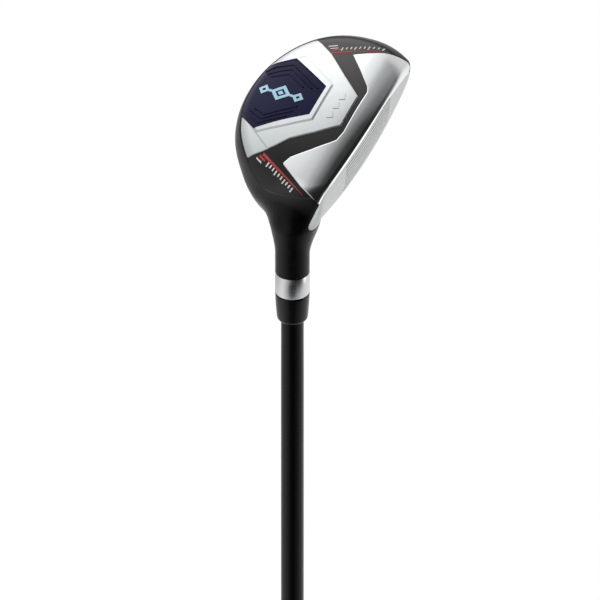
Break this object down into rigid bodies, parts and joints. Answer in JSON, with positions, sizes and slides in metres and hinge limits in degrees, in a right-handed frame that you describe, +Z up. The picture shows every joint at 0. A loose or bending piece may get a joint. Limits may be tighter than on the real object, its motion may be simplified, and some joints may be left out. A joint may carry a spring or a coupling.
{
  "type": "hybrid golf club",
  "caption": "Right-handed hybrid golf club: hollow steel head with polished sole plates and a navy badge, ringed hosel, tapered black shaft and rubber grip.",
  "frame": {"origin": "centre of the flat end of the grip, on the shaft's axis", "axes": "+Z runs up the shaft from the grip to the head, +X points towards the toe, and the face looks towards -Y"},
  "size_m": [0.1014, 0.0665, 1.0372],
  "materials": {
    "black_paint": "satin black paint over cast steel",
    "crown_paint": "gloss black paint",
    "polished_steel": "polished bare steel",
    "satin_silver": "satin silver",
    "brushed_face": "brushed steel with score lines",
    "navy": "dark navy moulded badge",
    "pale_blue": null,
    "foam": "double-sided foam tape",
    "dark_weight": "dense metal weight, hidden inside",
    "brass": "turned brass",
    "hot_melt": "hot melt filler, hidden inside",
    "epoxy": "cured epoxy, hidden inside",
    "ring_metal": "polished aluminium",
    "ferrule_plastic": "gloss black plastic",
    "shaft_gloss": "gloss black lacquer over carbon fibre",
    "grip_rubber": "black textured rubber",
    "cap_rubber": "black rubber",
    "paper_tape": "double-sided grip tape"
  },
  "bodies": {
    "root": {"head_body": "black_paint", "crown_plate": "crown_paint", "face_plate": "brushed_face", "sole_front_plate": "polished_steel", "sole_rear_plate": "satin_silver", "sole_badge": "navy", "badge_emblem": "pale_blue", "badge_tape": "foam", "rear_weight": "dark_weight", "toe_weight": "dark_weight", "heel_weight": "dark_weight", "damping_glue": "hot_melt", "tip_pin": "brass", "shaft_epoxy": "epoxy", "hosel_ring": "ring_metal", "ferrule": "ferrule_plastic", "shaft": "shaft_gloss", "grip_tape": "paper_tape", "grip_sleeve": "grip_rubber", "grip_cap": "cap_rubber"}
  },
  "joints": []
}
